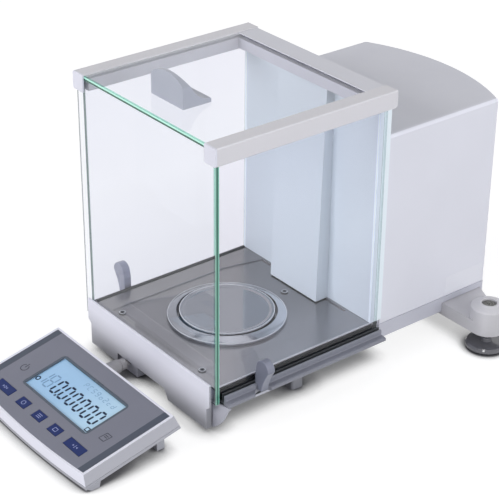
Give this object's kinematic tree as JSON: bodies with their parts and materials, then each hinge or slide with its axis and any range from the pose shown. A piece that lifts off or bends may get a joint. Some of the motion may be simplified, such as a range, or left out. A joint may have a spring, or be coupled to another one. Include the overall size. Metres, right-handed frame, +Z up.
{
  "type": "analytical balance",
  "caption": "Analytical balance with a glass draught shield that slides open, a round pan, a rear housing with the weighing cell, levelling feet and a tilted display terminal.",
  "frame": {"origin": "middle of the whole outline in X and Y, on the table", "axes": "+Z up, -Y towards the user at the terminal, +X to the user's right"},
  "size_m": [0.276, 0.4368, 0.2715],
  "materials": {
    "housing_grey": "satin, fine texture",
    "base_grey": "satin paint",
    "front_white": "satin",
    "wing_grey": "satin",
    "terminal_grey": "satin",
    "rail_grey": "satin paint",
    "wall_white": "satin",
    "track_black": "matte",
    "floor_steel": "fine satin",
    "polished_steel": "polished",
    "clear_glass": "clear float glass, green at its edges",
    "carrier_grey": "satin",
    "handle_grey": "satin",
    "arm_grey": "satin paint",
    "bare_aluminium": "milled",
    "magnet_steel": "turned",
    "plain_steel": "turned",
    "copper_wire": "lacquered copper wire",
    "board_green": "solder mask",
    "socket_black": "matte",
    "plate_grey": "matte",
    "plug_grey": "satin",
    "foil_grey": "fine texture",
    "bezel_blue_grey": "gloss",
    "display_blue": "clear, lit from behind",
    "key_navy": "satin",
    "foot_rubber": "soft"
  },
  "bodies": {
    "stand": {"base_casting": "base_grey", "front_apron": "front_white", "track_end_plate": "wing_grey", "door_track_left": "track_black", "door_track_right": "track_black", "floor_plate": "floor_steel", "floor_screws": "polished_steel", "draught_ring": "polished_steel", "rear_wall": "wall_white", "top_rail_left": "rail_grey", "top_rail_right": "rail_grey", "rail_cap_left": "front_white", "rail_cap_right": "front_white", "rear_top_bar": "rail_grey", "front_pane": "clear_glass", "front_feet": "socket_black", "housing_cover": "housing_grey", "rear_foot_beam": "arm_grey", "cell_frame": "bare_aluminium", "guide_plates": "bare_aluminium", "magnet_pot": "magnet_steel", "pivot_pin": "plain_steel", "main_board": "board_green", "power_socket": "socket_black", "serial_port": "plain_steel", "socket_plate": "plate_grey", "link_socket": "socket_black", "link_plug": "plug_grey", "terminal_upper_case": "front_white", "terminal_lower_case": "terminal_grey", "keypad_foil": "foil_grey", "display_window": "bezel_blue_grey", "display_panel": "display_blue", "terminal_board": "board_green"},
    "left_door": {"side_pane_left": "clear_glass", "door_carrier_left": "carrier_grey", "door_handle_left": "carrier_grey"},
    "right_door": {"side_pane_right": "clear_glass", "door_carrier_right": "carrier_grey", "door_handle_right": "carrier_grey"},
    "top_door": {"top_pane": "clear_glass", "top_handle": "handle_grey"},
    "pan": {"weighing_pan": "polished_steel", "pan_spindle": "plain_steel", "load_carrier": "bare_aluminium"},
    "lever": {"balance_lever": "bare_aluminium", "force_coil": "copper_wire"},
    "left_foot": {"foot_screw_left": "plain_steel", "foot_wheel_left": "socket_black", "foot_pad_left": "foot_rubber"},
    "right_foot": {"foot_screw_right": "plain_steel", "foot_wheel_right": "socket_black", "foot_pad_right": "foot_rubber"},
    "key_1_button": {"key_1": "key_navy"},
    "key_2_button": {"key_2": "key_navy"},
    "key_3_button": {"key_3": "key_navy"},
    "key_4_button": {"key_4": "key_navy"},
    "key_5_button": {"key_5": "key_navy"}
  },
  "joints": [
    {"name": "left_door_slide", "type": "slide", "parent": "stand", "child": "left_door", "axis": [0, 1, 0], "range_m": [0, 0.12]},
    {"name": "right_door_slide", "type": "slide", "parent": "stand", "child": "right_door", "axis": [0, 1, 0], "range_m": [0, 0.12]},
    {"name": "top_door_slide", "type": "slide", "parent": "stand", "child": "top_door", "axis": [0, 1, 0], "range_m": [0, 0.1]},
    {"name": "pan_travel", "type": "slide", "parent": "stand", "child": "pan", "axis": [0, 0, 1], "range_m": [-0.0005, 0], "stiffness_N_per_m": 20000, "springref_m": 0.0002},
    {"name": "lever_turn", "type": "hinge", "parent": "stand", "child": "lever", "pos_m": [0, 0.10889, 0.101], "axis": [1, 0, 0], "range_deg": [0, 1.62]},
    {"name": "key_1_press", "type": "slide", "parent": "stand", "child": "key_1_button", "axis": [0, 0.2113, -0.9774], "range_m": [0, 0.0006], "stiffness_N_per_m": 800, "springref_m": -0.0005},
    {"name": "key_2_press", "type": "slide", "parent": "stand", "child": "key_2_button", "axis": [0, 0.2113, -0.9774], "range_m": [0, 0.0006], "stiffness_N_per_m": 800, "springref_m": -0.0005},
    {"name": "key_3_press", "type": "slide", "parent": "stand", "child": "key_3_button", "axis": [0, 0.2113, -0.9774], "range_m": [0, 0.0006], "stiffness_N_per_m": 800, "springref_m": -0.0005},
    {"name": "key_4_press", "type": "slide", "parent": "stand", "child": "key_4_button", "axis": [0, 0.2113, -0.9774], "range_m": [0, 0.0006], "stiffness_N_per_m": 800, "springref_m": -0.0005},
    {"name": "key_5_press", "type": "slide", "parent": "stand", "child": "key_5_button", "axis": [0, 0.2113, -0.9774], "range_m": [0, 0.0006], "stiffness_N_per_m": 800, "springref_m": -0.0005},
    {"name": "left_foot_height", "type": "slide", "parent": "stand", "child": "left_foot", "axis": [0, 0, 1], "range_m": [-0.003, 0.003]},
    {"name": "right_foot_height", "type": "slide", "parent": "stand", "child": "right_foot", "axis": [0, 0, 1], "range_m": [-0.003, 0.003]}
  ],
  "couplings": [
    {"joint": "lever_turn", "follows": "pan_travel", "rad_per_m": -55.556}
  ]
}
